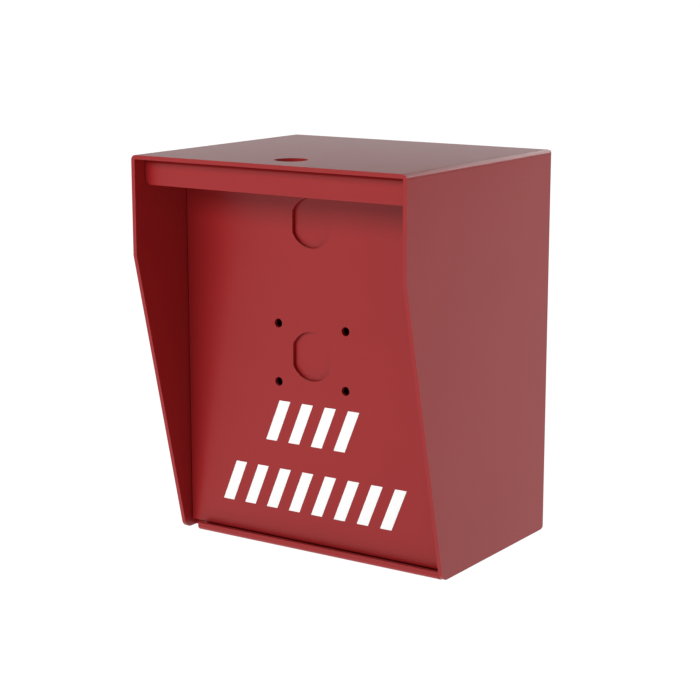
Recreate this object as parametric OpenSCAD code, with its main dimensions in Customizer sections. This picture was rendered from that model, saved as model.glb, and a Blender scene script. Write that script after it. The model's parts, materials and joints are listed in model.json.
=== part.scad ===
// Hooded steel housing for a fire-service key switch or card reader.
// +Z is up, the open front faces -Y, and the origin is at the middle of the base.

/* [Hood] */
// Outside width of the hood
hood_w = 203.2; // [190:0.1:230]
// Outside height of the hood
hood_h = 254; // [250:0.5:280]
// Depth of the roof, from the front edge to the back
hood_d = 177.8; // [175:0.1:190]
// Depth of the side walls at the base
base_d = 133.35; // [132.5:0.05:140]
// Height of the upright part of the side walls' front edge
visor_h = 63.5; // [40:0.5:90]
// Thickness of every steel sheet
sheet = 2.66; // [2:0.01:3]
// Inside radius of every bend
bend_in = 0.6; // [0.4:0.1:1]
// Radius on the lower corners of the side walls
wall_corner_r = 6.35; // [3:0.05:7]
// Radius on the corners of the cut-outs
corner_r = 3.2; // [2:0.1:5]
// Width of the flanges turned in round the back
back_flange = 16; // [12:0.5:24]

/* [Roof hole] */
// Radius of the lamp hole in the roof
lamp_r = 10.4; // [8:0.1:12]
// Distance from the back of the hood to the lamp hole's centre
lamp_set = 148; // [140:0.5:148]

/* [Valance] */
// Distance from the back of the hood to the valance's front face
valance_set = 168; // [168:0.5:174]
// Height of the hanging strip
valance_h = 16.8; // [10:0.1:16.8]
// Length of the valance
valance_w = 197.2; // [180:0.2:197.6]
// Radius on the valance's lower corners
valance_r = 5; // [3:0.1:8]

/* [Bottom pan] */
// Distance from the back of the hood to the lip's front face
lip_set = 133.35; // [130.5:0.05:133.35]
// Height of the lip
lip_h = 5.3; // [4.5:0.1:5.6]
// Width of the drain notch at the left end of the lip
notch_w = 10; // [4:0.1:12]
// Depth of the drain notch
notch_d = 11; // [8:0.5:24]

/* [Faceplate] */
// Distance from the back of the hood to the faceplate's front face
face_set = 127.1; // [126.5:0.05:127.2]
// Gap between the faceplate and each side wall
face_side_gap = 0.6; // [0.3:0.1:1.5]
// Height of the faceplate's bottom edge
face_low = 5; // [4.6:0.1:5.2]
// Height of the faceplate's top edge
face_top = 237; // [236.8:0.1:237]
// Length of the angle that carries the faceplate's foot
foot_w = 168; // [120:1:172]

/* [Device holes] */
// Height of the lower knockout's centre
lower_z = 127.8; // [110:0.1:135]
// Height of the upper knockout's centre
upper_z = 212.8; // [190:0.1:214.5]
// Radius of the round sides of each knockout
knock_r = 15.9; // [10:0.1:16]
// Distance between the two flats of each knockout
knock_flats = 28.6; // [18:0.1:30]
// Depth to which each slug is pushed in
knock_depth = 2.5; // [1:0.1:2.6]
// Distance across between the device screw holes
device_dx = 51.4; // [40:0.1:60]
// Distance up between the device screw holes
device_dz = 38.1; // [35:0.1:50]
// Radius of the device screw holes
device_r = 2.9; // [2:0.1:3.5]

/* [Stripes] */
// Height of each row of stripes
stripe_h = 27.2; // [15:0.1:30]
// Width of one stripe
stripe_w = 8.4; // [4:0.1:10]
// Bottom of the upper row
upper_row_z = 69.1; // [60:0.1:80]
// Bottom of the lower row
lower_row_z = 23.9; // [15:0.1:30]
// Number of stripes in the upper row
upper_stripes = 4; // [2:1:6]
// Number of stripes in the lower row
lower_stripes = 8; // [4:1:10]

/* [Back panel] */
// Distance between neighbouring mounting bolts
bolt_pitch = 76.2; // [60:0.1:100]
// Radius of the mounting bolt holes
bolt_r = 4.4; // [3:0.1:5]
// Radius of the cable bore in the grommet
cable_r = 12; // [8:0.5:13]

/* [Hidden] */
$fn = 64;

paint = "#a02226";
zinc = "#b9bcc0";
rubber = "#202022";
nylon = "#e8e4d8";
vinyl = "#f4f4f2";

past = 1;                              // how far a cutter runs past what it cuts
bend_out = sheet + bend_in;            // outside radius of every bend
back_y = hood_d / 2;
front_y = -hood_d / 2;
roof_z = hood_h - sheet;               // underside of the roof
wall_x = hood_w / 2 - sheet;           // inside face of each side wall
knee_z = hood_h - visor_h;
base_y = back_y - base_d;              // front corner of the side walls at the base
lip_y = back_y - lip_set;
face_y = back_y - face_set;
face_back_y = face_y + sheet;
foot_low_z = sheet + 0.3;              // the foot clears the bottom pan
face_w = 2 * (wall_x - face_side_gap);
foot_leg = 10;                         // of the angle on the back of the faceplate
foot_h = 14;
lip_end_gap = 0.5;                     // between the lip's right end and the side wall
valance_leg = 9;                       // flange of the valance against the roof
panel_y = back_y - 2 * sheet;          // inside face of the back panel
panel_w = 2 * (wall_x - bend_in);      // clears the inside radius of the hood's bends
panel_low_z = 1.3;
panel_top_z = roof_z - bend_in;
pan_flange_h = 18;                     // flange of the bottom pan against the back panel

// The stops stand behind the faceplate, with a foam seal on their front faces.
seal_t = 2;
seal_gap = 0.25;                       // between the closed faceplate and the seal
stop_y = face_back_y + seal_gap + seal_t;
strike_w = 188;
strike_drop = 26;
relief_w = 120;                        // step in the strike angle's lower edge, clear of the upper device
relief_h = 6;
strike_leg = 15;
stop_leg = 12;
stop_low_z = 30;
stop_high_z = 222;
seal_w = 8;

// Captive screws: the waist slides in a washer, which the wider threaded tip can't pass.
screw_x = 78;
screw_z = 232.9;
screw_head_r = 3.7;
screw_head_h = 2.3;
screw_waist_r = 1.6;
screw_tip_r = 1.95;
screw_socket_r = 1.45;
screw_socket_h = 1.2;
screw_pin_r = 0.45;
screw_hole_r = 2.3;
washer_r = 4;
washer_hole_r = 1.75;
washer_t = 0.8;
nut_shank_r = 3.6;
nut_relief_r = 2.9;
nut_bore_r = 2.4;
nut_r = 5.2;
nut_t = 4.1;
tip_y = stop_y + sheet;                // the threaded tip starts where the nut's thread starts
tip_l = 4.1;
tip_chamfer = 0.5;

slug_gap = 0.12;                       // sheared gap round each slug
tab_w = 2.4;                           // ties that hold each slug
stripe_t = 0.2;
stripe_lean = 11;                      // sideways lean over the height of a row
row_pitch = 17.6;

grommet_y = (panel_y + back_y - sheet) / 2;
grommet_hole_r = 16;
grommet_flange_r = 19.5;
grommet_flange_t = 2.3;

ground_x = -68;
ground_z = 38;
ground_stud_r = 3;
ground_stud_l = 18;
ground_foot_r = 4.2;
ground_foot_t = 1;
ground_washer_r = 6.2;
ground_washer_t = 1.4;
ground_nut_r = 5.77;                   // 10 mm across the flats
ground_nut_t = 5;
ground_nut_face_r = 4.75;              // where the nut's chamfers meet its two faces
ground_nut_chamfer = 0.6;
ground_clear = 0.06;                   // between the stud and what is threaded on it

// A flat outline in Y and Z, drawn as x and y, made into a length centred on X.
module along_x(length) {
    translate([-length / 2, 0, 0]) rotate([90, 0, 90]) linear_extrude(length) children();
}

// A flat outline in X and Z, drawn as x and y, made into a plate from y0 towards the back.
module plate_from(y0, thickness) {
    translate([0, y0 + thickness, 0]) rotate([90, 0, 0]) linear_extrude(thickness) children();
}

// A rod along Y, from y0 towards the back.
module rod(x, y0, z, r, length) {
    translate([x, y0, z]) rotate([-90, 0, 0]) cylinder(r = r, h = length);
}

// The section of a sheet bent once: one leg along +x, one along +y, the outside corner at the origin.
module bent_section(leg_x, leg_y) {
    translate([bend_out, 0]) square([leg_x - bend_out, sheet]);
    translate([0, bend_out]) square([sheet, leg_y - bend_out]);
    intersection() {
        difference() {
            translate([bend_out, bend_out]) circle(bend_out);
            translate([bend_out, bend_out]) circle(bend_in);
        }
        square(bend_out);
    }
}

// What a rounded corner of radius r takes off a square corner at the origin, opening to +x and +y.
module corner_waste(r) {
    difference() {
        translate([-past, -past]) square(r + past);
        translate([r, r]) circle(r);
    }
}

// A rectangle standing on y = 0, with its two top corners rounded.
module round_top(w, h, r) {
    difference() {
        translate([-w / 2, 0]) square([w, h]);
        for (s = [-1, 1]) scale([s, 1]) translate([w / 2, h]) rotate(180) corner_waste(r);
    }
}

// The outline of a side wall, in Y and Z: leaning front edge, rounded lower corners, bent top back corner.
module side_outline() {
    difference() {
        polygon([[back_y, 0], [back_y, hood_h], [front_y, hood_h], [front_y, knee_z], [base_y, 0]]);
        translate([back_y, 0]) rotate(90) corner_waste(wall_corner_r);
        translate([back_y, hood_h]) rotate(180) corner_waste(bend_out);
        translate([base_y, 0]) front_corner_waste();
    }
}

// The waste at the foot of the leaning front edge, which meets the base at an obtuse angle.
module front_corner_waste() {
    lean = atan2(front_y - base_y, knee_z);
    reach = wall_corner_r * tan((90 + lean) / 2);
    difference() {
        polygon([[past * sin(lean) - past, -past], [reach, -past], [reach, 0], [reach, wall_corner_r],
                 [reach * sin(lean), reach * cos(lean)], [-past + reach * sin(lean), reach * cos(lean)]]);
        translate([reach, wall_corner_r]) circle(wall_corner_r);
    }
}

// The space that a box bent from sheet fills, or its inside when it is taken in by the thickness.
module bent_block(w, top_z, rear_y, r, reach) {
    intersection() {
        translate([0, rear_y, -reach]) rotate([90, 0, 0])
            linear_extrude(hood_d + reach) round_top(w, top_z + reach, r);
        translate([0, 0, -reach]) linear_extrude(top_z + reach)
            translate([0, rear_y - hood_d - reach]) round_top(w, hood_d + reach, r);
    }
}

module hood_shell() {
    color(paint) difference() {
        intersection() {
            bent_block(hood_w, hood_h, back_y, bend_out, 0);
            along_x(hood_w) side_outline();
        }
        intersection() {
            bent_block(2 * wall_x, roof_z, back_y - sheet, bend_in, past);
            along_x(hood_w) difference() {
                translate([front_y - past, -past])
                    square([hood_d - sheet + past, roof_z + past]);
                translate([back_y - sheet, roof_z]) rotate(180) corner_waste(bend_in);
            }
        }
        plate_from(back_y - sheet - past, sheet + 2 * past)
            translate([0, -past]) {
                round_top(2 * (wall_x - back_flange), roof_z - back_flange + past, corner_r);
                translate([-wall_x, 0]) square([2 * wall_x, wall_corner_r + past]);
            }
        translate([0, back_y - lamp_set, roof_z - past]) cylinder(r = lamp_r, h = sheet + 2 * past);
    }
}

module back_panel() {
    color(paint) difference() {
        translate([-panel_w / 2, panel_y, panel_low_z])
            cube([panel_w, sheet, panel_top_z - panel_low_z]);
        rod(0, panel_y - past, hood_h / 2, grommet_hole_r, sheet + 2 * past);
        for (x = [-1, 1], z = [-1, 1])
            rod(x * bolt_pitch / 2, panel_y - past, hood_h / 2 + z * bolt_pitch / 2, bolt_r, sheet + 2 * past);
    }
}

module bottom_pan() {
    rear_y = panel_y;
    color(paint) difference() {
        along_x(2 * wall_x) {
            translate([lip_y, 0]) bent_section(hood_d / 3, lip_h);
            translate([rear_y, 0]) mirror([1, 0]) bent_section(hood_d / 3, pan_flange_h);
            translate([lip_y + bend_out, 0]) square([rear_y - lip_y - 2 * bend_out, sheet]);
        }
        translate([-wall_x, lip_y, 0]) cube([2 * notch_w, 2 * notch_d, 4 * lip_h], center = true);
        translate([wall_x, lip_y, 0]) cube([2 * lip_end_gap, 2 * bend_out, 4 * lip_h], center = true);
    }
}

module hood_valance() {
    color(paint) intersection() {
        along_x(valance_w) translate([back_y - valance_set, roof_z]) mirror([0, 1])
            bent_section(valance_leg, valance_h);
        translate([0, back_y, 2 * roof_z - valance_h]) rotate([90, 0, 0]) mirror([0, 1, 0])
            linear_extrude(hood_d) round_top(valance_w, roof_z, valance_r);
    }
}

module strike_angle() {
    color(paint) difference() {
        along_x(strike_w) translate([stop_y, roof_z]) mirror([0, 1])
            bent_section(strike_leg, strike_drop);
        plate_from(stop_y - past, sheet + 2 * past) translate([0, roof_z - strike_drop - past])
            round_top(relief_w, relief_h + past, corner_r);
        for (s = [-1, 1]) rod(s * screw_x, stop_y - past, screw_z, nut_shank_r, sheet + 2 * past);
    }
}

module side_stop(side) {
    color(paint) translate([side * wall_x, stop_y, stop_low_z]) scale([-side, 1, 1])
        linear_extrude(stop_high_z - stop_low_z) bent_section(stop_leg, stop_leg);
}

module side_stop_left() { side_stop(-1); }
module side_stop_right() { side_stop(1); }

module seal_top() {
    color(rubber) difference() {
        translate([-strike_w / 2, stop_y - seal_t, roof_z - strike_drop + relief_h])
            cube([strike_w, seal_t, strike_drop - relief_h - bend_out]);
        for (s = [-1, 1])
            rod(s * screw_x, stop_y - seal_t - past, screw_z, washer_r + 0.8, seal_t + 2 * past);
    }
}

module side_seal(side) {
    color(rubber) translate([side * (wall_x - bend_out - seal_w / 2) - seal_w / 2, stop_y - seal_t, stop_low_z])
        cube([seal_w, seal_t, stop_high_z - stop_low_z]);
}

module seal_left() { side_seal(-1); }
module seal_right() { side_seal(1); }

// A round outline with two upright flats, in X and Z.
module double_d(r, flats) {
    intersection() {
        circle(r);
        translate([-flats / 2, -r]) square([flats, 2 * r]);
    }
}

module faceplate() {
    color(paint) difference() {
        translate([-face_w / 2, face_y, face_low]) cube([face_w, sheet, face_top - face_low]);
        for (z = [lower_z, upper_z])
            plate_from(face_y - past, sheet + 2 * past) translate([0, z]) double_d(knock_r, knock_flats);
        for (x = [-1, 1], z = [-1, 1])
            rod(x * device_dx / 2, face_y - past, lower_z + z * device_dz / 2, device_r, sheet + 2 * past);
        for (s = [-1, 1]) rod(s * screw_x, face_y - past, screw_z, screw_hole_r, sheet + 2 * past);
    }
}

module foot_angle() {
    color(paint) along_x(foot_w) translate([face_back_y, foot_low_z]) bent_section(foot_leg, foot_h);
}

module knockout(z) {
    color(paint) plate_from(face_y + knock_depth, sheet) translate([0, z]) {
        double_d(knock_r - slug_gap, knock_flats - 2 * slug_gap);
        intersection() {
            double_d(knock_r, knock_flats);
            square([tab_w, 2 * knock_r], center = true);
        }
    }
}

module knockout_upper() { knockout(upper_z); }
module knockout_lower() { knockout(lower_z); }

// A row of leaning stripes in thin vinyl, centred on X.
module stripe_row(count, low_z) {
    color(vinyl) for (i = [0 : count - 1]) {
        left = (i - (count - 1) / 2) * row_pitch - (stripe_w + stripe_lean) / 2;
        plate_from(face_y - stripe_t, stripe_t) translate([left, low_z])
            polygon([[0, 0], [stripe_w, 0], [stripe_w + stripe_lean, stripe_h], [stripe_lean, stripe_h]]);
    }
}

module stripes_upper() { stripe_row(upper_stripes, upper_row_z); }
module stripes_lower() { stripe_row(lower_stripes, lower_row_z); }

// A button-head screw turned from one outline, with a six-sided socket round a security pin.
module captive_screw(side) {
    dome_r = (screw_head_r * screw_head_r + screw_head_h * screw_head_h) / (2 * screw_head_h);
    waist_l = tip_y - face_y;
    color(zinc) translate([side * screw_x, face_y, screw_z]) rotate([-90, 0, 0]) {
        difference() {
            intersection() {
                translate([0, 0, dome_r - screw_head_h]) sphere(dome_r);
                translate([0, 0, -screw_head_h]) cylinder(r = screw_head_r + past, h = screw_head_h);
            }
            translate([0, 0, -screw_head_h - past]) difference() {
                cylinder(r = screw_socket_r, h = screw_socket_h + past, $fn = 6);
                cylinder(r = screw_pin_r, h = screw_socket_h + past);
            }
        }
        cylinder(r = screw_waist_r, h = waist_l);
        translate([0, 0, waist_l]) cylinder(r = screw_tip_r, h = tip_l - tip_chamfer);
        translate([0, 0, waist_l + tip_l - tip_chamfer])
            cylinder(r1 = screw_tip_r, r2 = screw_tip_r - tip_chamfer, h = tip_chamfer);
    }
}

module captive_screw_left() { captive_screw(-1); }
module captive_screw_right() { captive_screw(1); }

module captive_washer(side) {
    color(nylon) difference() {
        rod(side * screw_x, face_back_y, screw_z, washer_r, washer_t);
        rod(side * screw_x, face_back_y - past, screw_z, washer_hole_r, washer_t + 2 * past);
    }
}

module captive_washer_left() { captive_washer(-1); }
module captive_washer_right() { captive_washer(1); }

module clinch_nut(side) {
    color(zinc) difference() {
        union() {
            rod(side * screw_x, stop_y, screw_z, nut_shank_r, sheet);
            rod(side * screw_x, tip_y, screw_z, nut_r, nut_t);
        }
        rod(side * screw_x, stop_y - past, screw_z, nut_relief_r, sheet + past);
        rod(side * screw_x, tip_y - past, screw_z, nut_bore_r, nut_t + 2 * past);
    }
}

module clinch_nut_left() { clinch_nut(-1); }
module clinch_nut_right() { clinch_nut(1); }

module cable_grommet() {
    lip_l = 3 * grommet_flange_t;
    color(rubber) difference() {
        union() {
            rod(0, panel_y, hood_h / 2, grommet_hole_r, sheet);
            rod(0, panel_y + sheet, hood_h / 2, grommet_flange_r, grommet_flange_t);
            rod(0, panel_y - grommet_flange_t, hood_h / 2, grommet_flange_r, grommet_flange_t);
            rod(0, panel_y - lip_l, hood_h / 2, cable_r + 2, lip_l);
        }
        rod(0, panel_y - lip_l - past, hood_h / 2, cable_r, lip_l + sheet + grommet_flange_t + 2 * past);
    }
}

module ground_stud() {
    color(zinc) {
        rod(ground_x, panel_y - ground_foot_t, ground_z, ground_foot_r, ground_foot_t);
        rod(ground_x, panel_y - ground_stud_l, ground_z, ground_stud_r, ground_stud_l);
    }
}

module ground_washer() {
    color(zinc) difference() {
        rod(ground_x, panel_y - ground_foot_t - ground_washer_t, ground_z, ground_washer_r, ground_washer_t);
        rod(ground_x, panel_y - ground_stud_l, ground_z, ground_stud_r + ground_clear, ground_stud_l);
    }
}

module ground_nut() {
    nut_y = panel_y - ground_foot_t - ground_washer_t - ground_nut_t;
    cone_rise = (ground_nut_r - ground_nut_face_r) / ground_nut_chamfer * ground_nut_t;
    color(zinc) difference() {
        translate([ground_x, nut_y, ground_z]) rotate([-90, 0, 0]) intersection() {
            cylinder(r = ground_nut_r, h = ground_nut_t, $fn = 6);
            cylinder(r1 = ground_nut_face_r, r2 = ground_nut_face_r + cone_rise, h = ground_nut_t);
            cylinder(r1 = ground_nut_face_r + cone_rise, r2 = ground_nut_face_r, h = ground_nut_t);
        }
        rod(ground_x, nut_y - past, ground_z, ground_stud_r + ground_clear, ground_nut_t + 2 * past);
    }
}

hood_shell();
back_panel();
bottom_pan();
hood_valance();
strike_angle();
side_stop_left();
side_stop_right();
seal_top();
seal_left();
seal_right();
faceplate();
foot_angle();
knockout_upper();
knockout_lower();
stripes_upper();
stripes_lower();
captive_screw_left();
captive_screw_right();
captive_washer_left();
captive_washer_right();
clinch_nut_left();
clinch_nut_right();
cable_grommet();
ground_stud();
ground_washer();
ground_nut();
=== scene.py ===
# A hooded fire access housing: powder-coated sheet steel, zinc-plated fasteners, rubber and nylon.
import json
import math

import bmesh
import bpy
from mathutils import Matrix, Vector


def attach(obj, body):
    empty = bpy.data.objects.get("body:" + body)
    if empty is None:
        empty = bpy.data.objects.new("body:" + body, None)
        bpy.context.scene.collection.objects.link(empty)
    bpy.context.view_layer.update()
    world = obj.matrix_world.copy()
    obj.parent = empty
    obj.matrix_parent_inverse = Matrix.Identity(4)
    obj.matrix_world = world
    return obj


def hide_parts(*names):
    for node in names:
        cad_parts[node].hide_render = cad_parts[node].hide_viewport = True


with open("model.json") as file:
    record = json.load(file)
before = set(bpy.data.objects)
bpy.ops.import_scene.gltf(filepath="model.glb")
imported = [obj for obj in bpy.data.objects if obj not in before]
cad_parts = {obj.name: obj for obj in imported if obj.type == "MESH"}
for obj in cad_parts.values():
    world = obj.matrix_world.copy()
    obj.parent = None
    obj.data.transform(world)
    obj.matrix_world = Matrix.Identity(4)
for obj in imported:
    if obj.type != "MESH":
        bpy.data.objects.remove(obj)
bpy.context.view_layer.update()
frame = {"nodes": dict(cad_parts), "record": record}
nodes = frame["nodes"]
mm = 0.001


# small helpers for colours, nodes and meshes

def hexColour(code):  # an sRGB hex code as linear RGBA
    parts = [int(code[i:i + 2], 16) / 255 for i in (1, 3, 5)]
    return tuple(c / 12.92 if c <= 0.04045 else ((c + 0.055) / 1.055) ** 2.4 for c in parts) + (1.0,)


def addNode(tree, kind, settings=None, links=None):
    # settings are values for sockets or properties, links are outputs to join to sockets
    node = tree.nodes.new(kind)
    for name, value in (settings or {}).items():
        if isinstance(name, int) or name in node.inputs:
            node.inputs[name].default_value = value
        else:
            setattr(node, name, value)
    for name, source in (links or {}).items():
        tree.links.new(source, node.inputs[name])
    return node


def newMaterial(name, shaderSettings):
    material = bpy.data.materials.new(name)
    material.use_nodes = True
    tree = material.node_tree
    shader = tree.nodes["Principled BSDF"]
    for socket, value in shaderSettings.items():
        shader.inputs[socket].default_value = value
    return material, tree, shader


def perMetre(sizeMm):  # a texture scale, from the real size of one cell in millimetres
    return 1.0 / (sizeMm * mm)


# powder-coated steel

powderCoat = {
    "red": "#981c1e",          # pigment in the middle of a panel
    "redThick": "#951a1c",     # where the film ran a little thicker
    "redEdgeHighlight": "#a02122",      # lighter red painted on the rounded sheared edges, a painted highlight
    "roughness": 0.34,
    "roughnessSpread": 0.05,
    "ior": 1.39,
    "peelMm": 2.6,             # distance between the bumps of the orange peel
    "peelDepthMm": 0.012,
    "grainMm": 0.55,           # grains that melted but didn't level
    "grainDepthMm": 0.004,
    "driftMm": 70,             # how slowly the film's thickness drifts
}


def powderCoatedSteel():
    # Sprayed as powder and baked: an even semi-gloss skin, with a faint orange peel in its reflections.
    v = powderCoat
    material, tree, shader = newMaterial("powder-coated steel", {"IOR": v["ior"]})
    place = addNode(tree, "ShaderNodeTexCoord").outputs["Object"]
    drift = addNode(tree, "ShaderNodeTexNoise",
                    {"Scale": perMetre(v["driftMm"]), "Detail": 2.0}, {"Vector": place})
    peel = addNode(tree, "ShaderNodeTexNoise",
                   {"Scale": perMetre(v["peelMm"]), "Detail": 1.0, "Roughness": 0.4}, {"Vector": place})
    grain = addNode(tree, "ShaderNodeTexNoise",
                    {"Scale": perMetre(v["grainMm"]), "Detail": 2.0, "Roughness": 0.6}, {"Vector": place})
    edge = addNode(tree, "ShaderNodeAttribute", {"attribute_name": "edge"})
    film = addNode(tree, "ShaderNodeMapRange",
                   {"From Min": 0.35, "From Max": 0.65}, {"Value": drift.outputs["Fac"]})
    body = addNode(tree, "ShaderNodeMix",
                   {"data_type": "RGBA", 6: hexColour(v["red"]), 7: hexColour(v["redThick"])},
                   {0: film.outputs[0]})
    # painted highlight: the faces of the rounded edges are coloured a lighter red
    colour = addNode(tree, "ShaderNodeMix", {"data_type": "RGBA", 7: hexColour(v["redEdgeHighlight"])},
                     {0: edge.outputs["Fac"], 6: body.outputs[2]})
    gloss = addNode(tree, "ShaderNodeMapRange",
                    {"From Min": 0.3, "From Max": 0.7, "To Min": v["roughness"] - v["roughnessSpread"],
                     "To Max": v["roughness"] + v["roughnessSpread"]}, {"Value": grain.outputs["Fac"]})
    peelBump = addNode(tree, "ShaderNodeBump",
                       {"Distance": v["peelDepthMm"] * mm}, {"Height": peel.outputs["Fac"]})
    grainBump = addNode(tree, "ShaderNodeBump", {"Distance": v["grainDepthMm"] * mm},
                        {"Height": grain.outputs["Fac"], "Normal": peelBump.outputs[0]})
    tree.links.new(colour.outputs[2], shader.inputs["Base Color"])
    tree.links.new(gloss.outputs[0], shader.inputs["Roughness"])
    tree.links.new(grainBump.outputs[0], shader.inputs["Normal"])
    return material


# other finishes

zincPlate = {
    "metal": "#c9cdd2",
    "passivated": "#c6c4b4",   # the faint straw tint of clear passivation
    "roughnessLow": 0.2,
    "roughnessHigh": 0.42,
    "tintMm": 3.0,
    "tumbleMm": 0.35,          # marks left by barrel plating
    "tumbleDepthMm": 0.006,
}


def zincPlatedSteel():
    # Barrel-plated: bright but slightly milky, with a patchy straw tint.
    v = zincPlate
    material, tree, shader = newMaterial("zinc-plated steel", {"Metallic": 1.0})
    place = addNode(tree, "ShaderNodeTexCoord").outputs["Object"]
    tint = addNode(tree, "ShaderNodeTexNoise",
                   {"Scale": perMetre(v["tintMm"]), "Detail": 3.0}, {"Vector": place})
    tumble = addNode(tree, "ShaderNodeTexNoise",
                     {"Scale": perMetre(v["tumbleMm"]), "Detail": 4.0}, {"Vector": place})
    colour = addNode(tree, "ShaderNodeMix",
                     {"data_type": "RGBA", 6: hexColour(v["metal"]), 7: hexColour(v["passivated"])},
                     {0: tint.outputs["Fac"]})
    gloss = addNode(tree, "ShaderNodeMapRange",
                    {"To Min": v["roughnessLow"], "To Max": v["roughnessHigh"]},
                    {"Value": tumble.outputs["Fac"]})
    bump = addNode(tree, "ShaderNodeBump",
                   {"Distance": v["tumbleDepthMm"] * mm}, {"Height": tumble.outputs["Fac"]})
    tree.links.new(colour.outputs[2], shader.inputs["Base Color"])
    tree.links.new(gloss.outputs[0], shader.inputs["Roughness"])
    tree.links.new(bump.outputs[0], shader.inputs["Normal"])
    return material


mouldedRubber = {
    "black": "#1b1b1d",
    "bloom": "#2a2a2c",        # the grey haze that rubber sweats out
    "bloomMm": 9,
    "roughness": 0.62,
    "ior": 1.52,
    "grainMm": 0.4,
    "grainDepthMm": 0.02,
}


def epdmRubber():
    # Compression moulded: near black, dull, with a grey bloom in patches.
    v = mouldedRubber
    material, tree, shader = newMaterial("EPDM rubber", {"Roughness": v["roughness"], "IOR": v["ior"]})
    place = addNode(tree, "ShaderNodeTexCoord").outputs["Object"]
    bloom = addNode(tree, "ShaderNodeTexNoise",
                    {"Scale": perMetre(v["bloomMm"]), "Detail": 4.0}, {"Vector": place})
    grain = addNode(tree, "ShaderNodeTexNoise",
                    {"Scale": perMetre(v["grainMm"]), "Detail": 3.0}, {"Vector": place})
    colour = addNode(tree, "ShaderNodeMix",
                     {"data_type": "RGBA", 6: hexColour(v["black"]), 7: hexColour(v["bloom"])},
                     {0: bloom.outputs["Fac"]})
    bump = addNode(tree, "ShaderNodeBump",
                   {"Distance": v["grainDepthMm"] * mm}, {"Height": grain.outputs["Fac"]})
    tree.links.new(colour.outputs[2], shader.inputs["Base Color"])
    tree.links.new(bump.outputs[0], shader.inputs["Normal"])
    return material


sealFoam = {
    "black": "#222224",
    "cellShade": "#111112",         # painted shade down in an opened cell
    "roughness": 0.85,
    "ior": 1.45,
    "cellMm": 0.8,
    "cellDepthMm": 0.12,
}


def closedCellFoam():
    # Slit from a block: the knife opens the cells, which read as fine pits, with painted shade in their
    # bottoms.
    v = sealFoam
    material, tree, shader = newMaterial("closed-cell foam", {"Roughness": v["roughness"], "IOR": v["ior"]})
    place = addNode(tree, "ShaderNodeTexCoord").outputs["Object"]
    cells = addNode(tree, "ShaderNodeTexVoronoi", {"Scale": perMetre(v["cellMm"])}, {"Vector": place})
    # painted shade: darker towards each pit's bottom, where the bump sinks deepest
    colour = addNode(tree, "ShaderNodeMix",
                     {"data_type": "RGBA", 6: hexColour(v["cellShade"]), 7: hexColour(v["black"])},
                     {0: cells.outputs["Distance"]})
    bump = addNode(tree, "ShaderNodeBump",
                   {"Distance": v["cellDepthMm"] * mm}, {"Height": cells.outputs["Distance"]})
    tree.links.new(colour.outputs[2], shader.inputs["Base Color"])
    tree.links.new(bump.outputs[0], shader.inputs["Normal"])
    return material


mouldedNylon = {
    "white": "#e6e0cf",
    "shade": "#dcd4bf",
    "shadeMm": 4,
    "roughness": 0.42,
    "ior": 1.53,
    "milkiness": 0.25,
    "milkMm": 0.4,             # how far light wanders under the skin
}


def naturalNylon():
    # Moulded without dye: milky, slightly waxy.
    v = mouldedNylon
    material, tree, shader = newMaterial("nylon", {
        "Roughness": v["roughness"], "IOR": v["ior"],
        "Subsurface Weight": v["milkiness"], "Subsurface Scale": v["milkMm"] * mm})
    place = addNode(tree, "ShaderNodeTexCoord").outputs["Object"]
    cloud = addNode(tree, "ShaderNodeTexNoise",
                    {"Scale": perMetre(v["shadeMm"]), "Detail": 2.0}, {"Vector": place})
    colour = addNode(tree, "ShaderNodeMix",
                     {"data_type": "RGBA", 6: hexColour(v["white"]), 7: hexColour(v["shade"])},
                     {0: cloud.outputs["Fac"]})
    tree.links.new(colour.outputs[2], shader.inputs["Base Color"])
    return material


cutVinyl = {
    "white": "#fbfcfb",
    "shade": "#f5f6f5",
    "shadeMm": 25,
    "roughnessLow": 0.33,
    "roughnessHigh": 0.43,
    "ior": 1.5,
    "peelMm": 2.6,             # the same orange peel as the coat's, shallower
    "peelDepthMm": 0.006,
}


def whiteVinyl():
    # Calendered film pressed onto the coat: white, satin, and it telegraphs the orange peel beneath.
    v = cutVinyl
    material, tree, shader = newMaterial("cut vinyl film", {"IOR": v["ior"]})
    place = addNode(tree, "ShaderNodeTexCoord").outputs["Object"]
    cloud = addNode(tree, "ShaderNodeTexNoise",
                    {"Scale": perMetre(v["shadeMm"]), "Detail": 2.0}, {"Vector": place})
    peel = addNode(tree, "ShaderNodeTexNoise",
                   {"Scale": perMetre(v["peelMm"]), "Detail": 1.0}, {"Vector": place})
    colour = addNode(tree, "ShaderNodeMix",
                     {"data_type": "RGBA", 6: hexColour(v["white"]), 7: hexColour(v["shade"])},
                     {0: cloud.outputs["Fac"]})
    gloss = addNode(tree, "ShaderNodeMapRange",
                    {"To Min": v["roughnessLow"], "To Max": v["roughnessHigh"]},
                    {"Value": cloud.outputs["Fac"]})
    bump = addNode(tree, "ShaderNodeBump",
                   {"Distance": v["peelDepthMm"] * mm}, {"Height": peel.outputs["Fac"]})
    tree.links.new(colour.outputs[2], shader.inputs["Base Color"])
    tree.links.new(gloss.outputs[0], shader.inputs["Roughness"])
    tree.links.new(bump.outputs[0], shader.inputs["Normal"])
    return material


steel = powderCoatedSteel()
zinc = zincPlatedSteel()
rubber = epdmRubber()
foam = closedCellFoam()
nylon = naturalNylon()
vinyl = whiteVinyl()
print("materials made")


# sheet-metal pieces, with their sheared edges rounded by the coat

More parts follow.
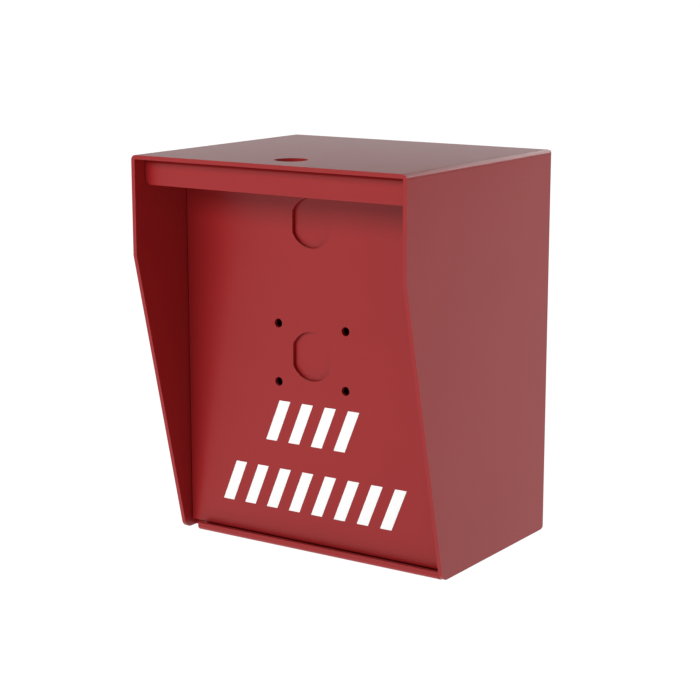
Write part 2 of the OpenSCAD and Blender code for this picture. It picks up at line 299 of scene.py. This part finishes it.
sheetWork = {
    "pieces": ["hood_shell", "back_panel", "bottom_pan", "hood_valance", "strike_angle", "side_stop_left",
               "side_stop_right", "faceplate", "foot_angle", "knockout_upper", "knockout_lower"],
    "sheetMm": 2.66,           # thickness of every sheet
    "edgeMm": 0.38,            # radius that the powder builds over a sheared edge
    "edgeSteps": 3,
    "sharpDeg": 35,
    "joinMm": 0.002,           # corners of the CAD mesh closer than this are one
    "flatDeg": 0.5,            # and its faces that turn less than this are one
}


def bodyOf(node):
    return next(name for name, members in frame["record"]["behaviour"]["bodies"].items() if node in members)


def cleanCopy(node, name):  # the CAD mesh again, with its flat faces joined up
    mesh = nodes[node].data.copy()
    mesh.materials.clear()
    build = bmesh.new()
    build.from_mesh(mesh)
    bmesh.ops.remove_doubles(build, verts=build.verts, dist=sheetWork["joinMm"] * mm)
    bmesh.ops.dissolve_limit(build, angle_limit=math.radians(sheetWork["flatDeg"]),
                             verts=build.verts, edges=build.edges)
    build.to_mesh(mesh)
    build.free()
    if "custom_normal" in mesh.attributes:
        mesh.attributes.remove(mesh.attributes["custom_normal"])
    piece = bpy.data.objects.new(name, mesh)
    bpy.context.scene.collection.objects.link(piece)
    return piece


def applyModifiers(piece):
    shape = bpy.data.meshes.new_from_object(piece.evaluated_get(bpy.context.evaluated_depsgraph_get()))
    piece.modifiers.clear()
    piece.data = shape


def roundEdges(piece, widthMm, steps, sharpDeg):  # and mark the new faces, so the coat can paint them lighter as a painted highlight
    for face in piece.data.polygons:
        face.use_smooth = True
        face.material_index = 0
    for edge in piece.data.edges:
        edge.use_edge_sharp = False
    for _ in range(2):
        piece.data.materials.append(None)
    bevel = piece.modifiers.new("coat", "BEVEL")
    bevel.width = widthMm * mm
    bevel.segments = steps
    bevel.limit_method = "ANGLE"
    bevel.angle_limit = math.radians(sharpDeg)
    bevel.use_clamp_overlap = True
    bevel.harden_normals = True
    bevel.material = 1
    applyModifiers(piece)
    mark = piece.data.attributes.new("edge", "FLOAT", "FACE")
    for face in piece.data.polygons:
        mark.data[face.index].value = float(face.material_index)
        face.material_index = 0


def addPiece(piece, node, material):
    piece.data.materials.clear()
    piece.data.materials.append(material)
    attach(piece, bodyOf(node))
    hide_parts(node)
    return piece


for node in sheetWork["pieces"]:
    piece = cleanCopy(node, node + ".coated")
    roundEdges(piece, sheetWork["edgeMm"], sheetWork["edgeSteps"], sheetWork["sharpDeg"])
    addPiece(piece, node, steel)
    print(node, "rounded,", len(piece.data.polygons), "faces")


# soft and small pieces, with moulded or tumbled edges

smallEdgeSteps = 2
smallWork = {                      # node, material, slot, edge radius in mm
    "cable_grommet": (rubber, "black_rubber", 0.7),
    "seal_top": (foam, "black_rubber", 0.3),
    "seal_left": (foam, "black_rubber", 0.3),
    "seal_right": (foam, "black_rubber", 0.3),
    "captive_washer_left": (nylon, "nylon", 0.12),
    "captive_washer_right": (nylon, "nylon", 0.12),
    "clinch_nut_left": (zinc, "zinc_steel", 0.18),
    "clinch_nut_right": (zinc, "zinc_steel", 0.18),
    "ground_washer": (zinc, "zinc_steel", 0.12),
    "ground_nut": (zinc, "zinc_steel", 0.1),
    "stripes_upper": (vinyl, "white_vinyl", 0.05),
    "stripes_lower": (vinyl, "white_vinyl", 0.05),
}
for node, (material, slot, edgeMm) in smallWork.items():
    piece = cleanCopy(node, node + ".finished")
    roundEdges(piece, edgeMm, smallEdgeSteps, sheetWork["sharpDeg"])
    addPiece(piece, node, material)
print("small pieces rounded")


# threads, and welds painted over

def wrappedRod(name, start, end, radiusAt, around, along):
    # a closed rod whose radius is radiusAt(metres along it, angle round it)
    start, end = Vector(start), Vector(end)
    way = (end - start).normalized()
    side = way.orthogonal().normalized()
    up = way.cross(side)
    length = (end - start).length
    verts, faces = [], []
    for i in range(along + 1):
        centre = start + way * (length * i / along)
        for j in range(around):
            angle = 2 * math.pi * j / around
            out = side * math.cos(angle) + up * math.sin(angle)
            verts.append(centre + out * radiusAt(length * i / along, angle))
    for i in range(along):
        for j in range(around):
            k = (j + 1) % around
            faces.append((i * around + j, i * around + k, (i + 1) * around + k, (i + 1) * around + j))
    faces.append(tuple(reversed(range(around))))
    faces.append(tuple(along * around + j for j in range(around)))
    mesh = bpy.data.meshes.new(name)
    mesh.from_pydata(verts, [], faces)
    for face in mesh.polygons:
        face.use_smooth = len(face.vertices) == 4
    piece = bpy.data.objects.new(name, mesh)
    bpy.context.scene.collection.objects.link(piece)
    return piece


threads = {
    "screw": {"rootMm": 1.6, "crestMm": 1.95, "pitchMm": 0.7},   # M4, as radii
    "stud": {"rootMm": 2.42, "crestMm": 3.0, "pitchMm": 1.0},    # M6
    "around": 32,
    "stepsPerTurn": 8,
    "tipMm": 4.15,             # length of a captive screw's threaded tip
    "tipCoreMm": 1.2,          # radius of the plain core left under its thread
    "tipLapMm": 0.05,          # how far the thread starts past the core's shoulder
    "tipEdgeMm": 0.1,
    "studFootMm": 1.0,         # height of the stud's plain foot
    "studFootLapMm": 0.1,      # slack in telling the foot's corners from the shaft's
    "studCore": 0.7,           # the plain core left under the stud's thread, as a share of its radius
    "studEdgeMm": 0.12,
}


def threadRod(name, start, end, rootMm, crestMm, pitchMm):
    length = (Vector(end) - Vector(start)).length
    pitch = pitchMm * mm

    def radius(along, angle):
        phase = (along / pitch - angle / (2 * math.pi)) % 1.0
        ridge = max(0.0, min(1.0, 1.25 - 2.5 * abs(phase - 0.5)))              # flat crest, sloping flanks
        runOut = max(0.0, min(1.0, along / pitch, (length - along) / pitch))   # over a turn at each end
        return (rootMm + (crestMm - rootMm) * ridge * runOut) * mm

    steps = int(length / pitch * threads["stepsPerTurn"])
    return wrappedRod(name, start, end, radius, threads["around"], steps)


def boxOf(node):
    corners = [nodes[node].matrix_world @ v.co for v in nodes[node].data.vertices]
    return [Vector(pick(c[i] for c in corners) for i in range(3)) for pick in (min, max)]


def threadedPiece(node, thread, edgeMm, startY, endY, drawIn):
    # the node's copy with its shaft drawn in by drawIn, and a thread laid round the shaft
    low, high = boxOf(node)
    x, z = (low.x + high.x) / 2, (low.z + high.z) / 2
    piece = cleanCopy(node, node + ".plated")
    for v in piece.data.vertices:
        out = Vector((v.co.x - x, 0, v.co.z - z))
        out *= drawIn(v.co.y, out.length)
        v.co.x, v.co.z = x + out.x, z + out.z
    roundEdges(piece, edgeMm, smallEdgeSteps, sheetWork["sharpDeg"])
    addPiece(piece, node, zinc)
    rod = threadRod(node + ".thread", (x, startY, z), (x, endY, z), **thread)
    addPiece(rod, node, zinc)


def cutScrewThread(node):
    high = boxOf(node)[1]
    tipY = high.y - threads["tipMm"] * mm
    core = threads["tipCoreMm"] * mm

    def drawIn(y, radius):
        return core / radius if y > tipY and radius > core else 1.0

    startY = tipY + threads["tipLapMm"] * mm
    threadedPiece(node, threads["screw"], threads["tipEdgeMm"], startY, high.y, drawIn)


def cutStudThread(node):
    low, high = boxOf(node)
    footY = high.y - threads["studFootMm"] * mm

    def drawIn(y, radius):
        return threads["studCore"] if y < footY - threads["studFootLapMm"] * mm else 1.0

    threadedPiece(node, threads["stud"], threads["studEdgeMm"], footY, low.y, drawIn)


cutScrewThread("captive_screw_left")
cutScrewThread("captive_screw_right")
cutStudThread("ground_stud")
print("threads cut")


welds = {
    "beadMm": 1.5,             # radius of a stitch
    "taperMm": 2.5,            # how far its ends taper
    "rippleMm": 1.3,           # distance between its ripples
    "rippleDepthMm": 0.16,
    "stitchMm": 22,            # length of a stitch
    "around": 14,
    "stepsPerRipple": 6,
    "panY": (-0.018, 0.03, 0.068),   # middles of the stitches along each seam, in metres
    "stopZ": (0.05, 0.127, 0.204),
    "panelZ": (0.075, 0.18),
    "valanceX": 0.055,
    "panelInMm": 0.4,          # how far inside the wall the back panel's stitches sit
}


def stitch(name, node, middle, way):
    # a rippled bead laid along way, a unit vector
    v = welds
    length = v["stitchMm"] * mm
    start = Vector(middle) - Vector(way) * length / 2
    end = Vector(middle) + Vector(way) * length / 2

    def radius(along, angle):
        ends = min(1.0, 0.35 + 0.65 * math.sqrt(max(0.0, min(along, length - along)) / (v["taperMm"] * mm)))
        wave = abs(math.sin(math.pi * along / (v["rippleMm"] * mm) + 0.5 * math.cos(angle)))
        return (v["beadMm"] * ends - v["rippleDepthMm"] * (1 - wave)) * mm

    steps = int(length / (v["rippleMm"] * mm) * v["stepsPerRipple"])
    piece = wrappedRod(name, start, end, radius, v["around"], steps)
    piece.data.materials.append(steel)
    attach(piece, bodyOf(node))


def laySeams():
    # each seam's stitches ride on a node, and have a middle and a way
    wallX = boxOf("bottom_pan")[1].x
    panTop = sheetWork["sheetMm"] * mm
    panelX = wallX - welds["panelInMm"] * mm
    panelFace = boxOf("back_panel")[0].y
    roofUnder = boxOf("hood_valance")[1].z
    valanceBack = boxOf("hood_valance")[1].y
    stopBack = boxOf("side_stop_left")[1].y
    seams = []
    for side in (-1, 1):
        seams += [("bottom_pan", (side * wallX, y, panTop), (0, 1, 0)) for y in welds["panY"]]
        seams += [("side_stop_left", (side * wallX, stopBack, z), (0, 0, 1)) for z in welds["stopZ"]]
        seams += [("back_panel", (side * panelX, panelFace, z), (0, 0, 1)) for z in welds["panelZ"]]
        seams.append(("hood_valance", (side * welds["valanceX"], valanceBack, roofUnder), (1, 0, 0)))
    for count, (node, middle, way) in enumerate(seams):
        stitch("weld.%d" % count, node, middle, way)
    print(len(seams), "weld stitches laid")


laySeams()


# floor, light and camera

studio = {
    "floor": "#505050",
    "floorGlow": 1.0,
    "floorHalf": 60.0,         # metres to each side
    "skyLow": 0.3,             # brightness of the sky at the horizon
    "skyHigh": 0.08,           # and overhead
    "skyBlend": 0.45,          # height at which it has faded, where 1 is straight up
    "aim": (0, 0, 0.127),      # what the lights point at
    "camera": {"lens": 93.31, "at": (0.6415, -0.9575, 0.3666), "turn": 33.67, "tilt": -11.81},
    "lights": {                # "from" is degrees to the side, degrees up and metres away
        "key": {"watts": 29, "size": (1.35, 0.7), "from": (-17, 25, 2.2)},
        "fill": {"watts": 9.8, "size": (1.2, 1.2), "from": (105, 16, 2.4)},
        "rim": {"watts": 15, "size": (1.7, 0.6), "from": (172, 24, 2.0)},   # for the bend at the roof's right
        "card": {"watts": 21, "size": (5.0, 1.6), "from": (-147, 9, 6.0)},  # low, so only the roof mirrors it
    },
}


def makeFloor():
    material, tree, shader = newMaterial("matt floor paint", {"Roughness": 0.9, "Specular IOR Level": 0.1})
    shader.inputs["Base Color"].default_value = hexColour(studio["floor"])
    shader.inputs["Emission Color"].default_value = (1, 1, 1, 1)
    shader.inputs["Emission Strength"].default_value = studio["floorGlow"]
    mesh = bpy.data.meshes.new("floor")
    half = studio["floorHalf"]
    corners = [(-half, -half, 0), (half, -half, 0), (half, half, 0), (-half, half, 0)]
    mesh.from_pydata(corners, [], [(0, 1, 2, 3)])
    mesh.materials.append(material)
    floor = bpy.data.objects.new("floor", mesh)
    bpy.context.scene.collection.objects.link(floor)


def makeSky():
    world = bpy.data.worlds.new("studio")
    bpy.context.scene.world = world
    world.use_nodes = True
    tree = world.node_tree
    place = addNode(tree, "ShaderNodeTexCoord").outputs["Generated"]
    height = addNode(tree, "ShaderNodeSeparateXYZ", {}, {0: place}).outputs["Z"]
    level = addNode(tree, "ShaderNodeMapRange",
                    {"From Min": 0.0, "From Max": studio["skyBlend"],
                     "To Min": studio["skyLow"], "To Max": studio["skyHigh"]}, {"Value": height})
    tree.links.new(level.outputs[0], tree.nodes["Background"].inputs["Strength"])
    tree.nodes["Background"].inputs["Color"].default_value = (1, 1, 1, 1)


def addLight(name, watts, size, turnDeg, liftDeg, away):
    data = bpy.data.lights.new(name, "AREA")
    data.energy = watts
    data.shape = "RECTANGLE"
    data.size, data.size_y = size
    light = bpy.data.objects.new(name, data)
    turn, lift = math.radians(turnDeg), math.radians(liftDeg)
    out = Vector((math.sin(turn) * math.cos(lift), -math.cos(turn) * math.cos(lift), math.sin(lift)))
    light.location = Vector(studio["aim"]) + out * away
    light.rotation_euler = out.to_track_quat("Z", "Y").to_euler()
    bpy.context.scene.collection.objects.link(light)


def addCamera():
    view = studio["camera"]
    data = bpy.data.cameras.new("camera")
    data.lens = view["lens"]
    data.sensor_width = 36.0
    camera = bpy.data.objects.new("camera", data)
    camera.location = view["at"]
    camera.rotation_euler = (math.radians(90 + view["tilt"]), 0.0, math.radians(view["turn"]))
    bpy.context.scene.collection.objects.link(camera)
    bpy.context.scene.camera = camera


makeFloor()
makeSky()
for name, light in studio["lights"].items():
    addLight(name, light["watts"], light["size"], *light["from"])
addCamera()
bpy.context.scene.view_settings.view_transform = "Standard"
print("studio ready")
